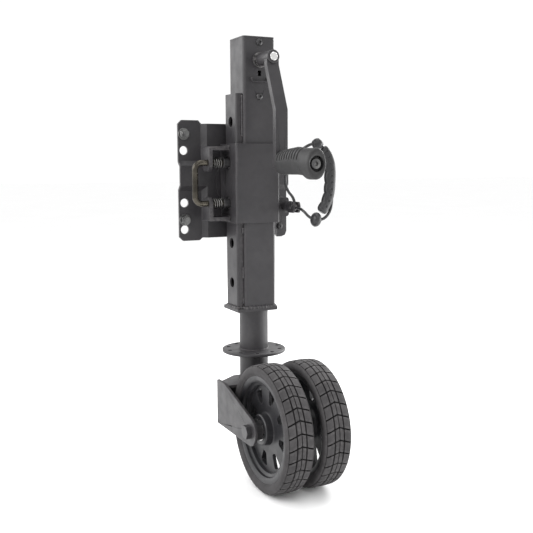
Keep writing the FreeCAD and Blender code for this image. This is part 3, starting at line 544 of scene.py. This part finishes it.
def grip_stations(length):
    """(distance, inset of the surface, inset of the fins' grooves) from the arm to the free end."""
    rows = [(0.0, 1.6, 0.0), (0.7, 0.6, 0.0), (2.0, 0.0, 0.0), (7.6, 0.0, 0.0)]
    for k in range(FIN_COUNT):
        h = FIN_FIRST + FIN_PITCH * k
        rows += [(h - 0.5, 0.0, 0.0), (h + 0.1, 0.0, 0.8), (h + 0.6, 0.0, FIN_DEPTH),
                 (h + 4.0, 0.0, FIN_DEPTH), (h + 4.5, 0.0, 0.8), (h + 5.1, 0.0, 0.0)]
    rows += [(97.0, 0.0, 0.0), (101.0, 0.0, 0.0), (105.0, 0.0, 0.0), (108.5, 0.1, 0.0), (112.0, 0.0, 0.0),
             (length - 5.0, 0.0, 0.0), (length - 2.6, 0.5, 0.0), (length - 1.0, 1.5, 0.0), (length, 3.2, 0.0)]
    return rows


def make_grip():
    """A moulded oval grip: fins over its upper side, a smooth underside and a flared end with a recess."""
    lo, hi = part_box("crank_grip")
    y_arm = hi[1]
    length = (hi[1] - lo[1]) * 1000.0
    centre = at(0, 0, GRIP_BOLT_Z)
    around = GRIP_AROUND
    verts = []
    for h, inset, groove in grip_stations(length):
        low, high, half = grip_section(h)
        middle, tall = (low + high) / 2, (high - low) / 2
        for k in range(around):
            a = 2 * math.pi * k / around
            upper = max(0.0, min(1.0, (math.sin(a) - 0.02) / 0.30))
            cut = inset + groove * upper
            x = (half - cut) * math.cos(a)
            z = middle + (tall - cut) * math.sin(a)
            verts.append((centre[0] + x / 1000.0, y_arm - h / 1000.0, centre[2] + z / 1000.0))
    rings = len(verts) // around
    floor = length - RECESS_DEPTH
    recess = ((length - 0.3, RECESS_R + 1.4), (length - 1.0, RECESS_R + 0.4), (length - 2.0, RECESS_R),
              (floor, RECESS_R), (floor, BORE_R))
    bore = ((0.0, BORE_R),)
    for h, r in recess + bore:
        for k in range(around):
            a = 2 * math.pi * k / around
            verts.append((centre[0] + r * math.cos(a) / 1000.0, y_arm - h / 1000.0,
                          centre[2] + r * math.sin(a) / 1000.0))
        rings += 1
    faces = ring_faces(rings, around)
    last = (rings - 1) * around
    for k in range(around):
        faces.append((last + k, last + (k + 1) % around, (k + 1) % around, k))
    obj = mesh_object("grip_body", verts, faces, 40.0)
    dress(obj, "grip_plastic")
    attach(obj, "grip")
    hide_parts("crank_grip")


# --- the pull loop's handle and balls --------------------------------------------------------
HANDLE_STEP = 0.0006     # metres between rings
HANDLE_AROUND = 80
HALF_WIDTH, HALF_DEPTH = 11.6, 9.4
FINGER_FIRST, FINGER_PITCH, FINGER_DEPTH = 8.0, 22.0, 2.6
DIMPLE_FIRST, DIMPLE_PITCH, DIMPLES = 9.0, 12.8, 10
DIMPLE_R, DIMPLE_DEPTH = 2.6, 0.0020


def make_handle():
    """The finger grip: scalloped on its inner side, smooth outside, a row of dimples along its face."""
    path = resample(HANDLE_LINE, HANDLE_STEP)
    n = len(path)
    total = (n - 1) * HANDLE_STEP * 1000.0
    middle = at(92, -100, 600)
    front = Vector((0, -1, 0))
    around = HANDLE_AROUND
    dots = [DIMPLE_FIRST + DIMPLE_PITCH * k for k in range(DIMPLES)]
    verts = []
    for i, (p, t, s, u) in enumerate(frames_along(path)):
        run = i * HANDLE_STEP * 1000.0
        out = p - middle
        out = (out - t * out.dot(t) - front * out.dot(front)).normalized()
        end = min(1.0, min(run, total - run) / 7.0)
        end = math.sqrt(max(0.0, 1 - (1 - end) ** 2))
        girth = 1.0 - 0.26 * max(0.0, 1 - run / 36.0)
        finger = (run - FINGER_FIRST) / FINGER_PITCH
        scallop = abs(math.sin(math.pi * finger)) ** 0.6
        for k in range(around):
            a = 2 * math.pi * k / around
            c, z = math.cos(a), math.sin(a)
            flat = HALF_WIDTH * (abs(c) ** 0.8) * (1 if c > 0 else -1)
            deep = HALF_DEPTH * (abs(z) ** 0.8) * (1 if z > 0 else -1)
            if c < 0:
                flat += FINGER_DEPTH * (-c) * (1.0 - scallop)
            scale = girth * (0.55 + 0.45 * end)
            q = p + (out * flat + front * deep) * scale / 1000.0
            if z > 0.25:
                for d in dots:
                    dist = math.hypot(run - d, flat * scale + 0.5)
                    if dist < DIMPLE_R:
                        q -= front * DIMPLE_DEPTH * min(1.0, (DIMPLE_R - dist) / 0.8)
            if z < -0.25 and abs(flat * scale) < 3.0 and 14 < run < total - 14:
                q += front * 0.0012
            verts.append(q)
    obj = mesh_object("finger_handle", verts, ring_faces(n, around, True, True), 50.0)
    dress(obj, "loop_rubber")
    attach(obj, "swing_plunger")
    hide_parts("pull_handle")
    return obj


def make_stops():
    """Knobs moulded on the cable, each with a parting ridge and a short collar at both sides."""
    verts, faces = [], []
    rings, around = 34, 44
    for place, wide, half in STOPS:
        i = min(range(1, len(LOOP_LINE) - 1), key=lambda q: (LOOP_LINE[q] - at(*place)).length)
        t = (LOOP_LINE[i + 1] - LOOP_LINE[i - 1]).normalized()
        s = t.orthogonal().normalized()
        u = t.cross(s)
        base = len(verts)
        c = LOOP_LINE[i]
        for k in range(rings + 1):
            b = math.pi * k / rings
            r = wide * math.sin(b)
            h = -half * math.cos(b)
            if r < 4.6:
                r = 4.6 if 0 < k < rings else 3.2
                h = math.copysign(min(abs(h), half * 0.97), h)
            r += 0.3 * math.exp(-(h / 0.5) ** 2)
            for q in range(around):
                a = 2 * math.pi * q / around
                verts.append(c + (t * h + (s * math.cos(a) + u * math.sin(a)) * r) / 1000.0)
        faces += [tuple(base + x for x in f) for f in ring_faces(rings + 1, around, True, True)]
    obj = mesh_object("stop_knobs", verts, faces, 50.0)
    dress(obj, "loop_rubber")
    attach(obj, "swing_plunger")
    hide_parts("cord_balls")
    return obj


def make_loop():
    dress(cable, "cable_coat")
    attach(cable, "swing_plunger")
    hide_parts("pull_cord")
    pieces = [make_handle(), make_stops()]


# --- light and floor -------------------------------------------------------------------------
# name, place, point it faces (metres), width (m), power (W)
LIGHTS = (
    ("key_left", (-2.3, -0.3, 1.1), (0.1, 0.0, 0.0), 1.5, 34.0),
    ("sheen_left", (-1.5, 1.9, 0.9), (0.1, 0.0, 0.1), 1.8, 23.0),
    ("front_high", (-0.6, -2.4, 2.1), (0.1, 0.0, -0.1), 1.2, 13.0),
    ("right_rim", (2.0, 1.0, 1.0), (0.1, 0.0, -0.2), 1.4, 50.0),
    ("right_low", (1.9, -0.6, -0.1), (0.1, -0.2, -0.4), 0.8, 17.0),
    ("top", (0.2, 0.1, 2.4), (0.1, 0.0, 0.0), 1.4, 18.0),
)
SKY_STRENGTH = 1.02


def make_stage():
    bpy.ops.mesh.primitive_plane_add(size=60.0, location=(0, 0, GROUND_Z))
    floor = bpy.context.object
    floor.name = "floor"
    mat, tree, bsdf = shade_tree("floor_paper")
    tone = ramp(tree, noise_at(tree, 1.5, 2.0), [(0.3, (0.965, 0.965, 0.965)), (0.7, (0.98, 0.98, 0.98))])
    tree.links.new(tone, bsdf.inputs["Base Color"])
    bsdf.inputs["Roughness"].default_value = 0.9
    bsdf.inputs["Specular IOR Level"].default_value = 0.1
    floor.data.materials.append(mat)
    world = bpy.data.worlds.new("world")
    bpy.context.scene.world = world
    world.use_nodes = True
    back = world.node_tree.nodes["Background"]
    back.inputs["Color"].default_value = (1.0, 1.0, 1.0, 1.0)
    back.inputs["Strength"].default_value = SKY_STRENGTH
    for name, place, aim, size, power in LIGHTS:
        data = bpy.data.lights.new(name, "AREA")
        data.shape = "SQUARE"
        data.size = size
        data.energy = power
        lamp = bpy.data.objects.new(name, data)
        lamp.location = place
        lamp.rotation_euler = (Vector(aim) - Vector(place)).to_track_quat("-Z", "Y").to_euler()
        bpy.context.scene.collection.objects.link(lamp)
    bpy.context.scene.view_settings.view_transform = "Standard"


dress_cad_nodes()
soften()
make_loop()
tyre_mesh("left_tread", -1, "left_tyre", "left_wheel")
tyre_mesh("right_tread", 1, "right_tyre", "right_wheel")
make_grip()
make_welds()
make_stage()
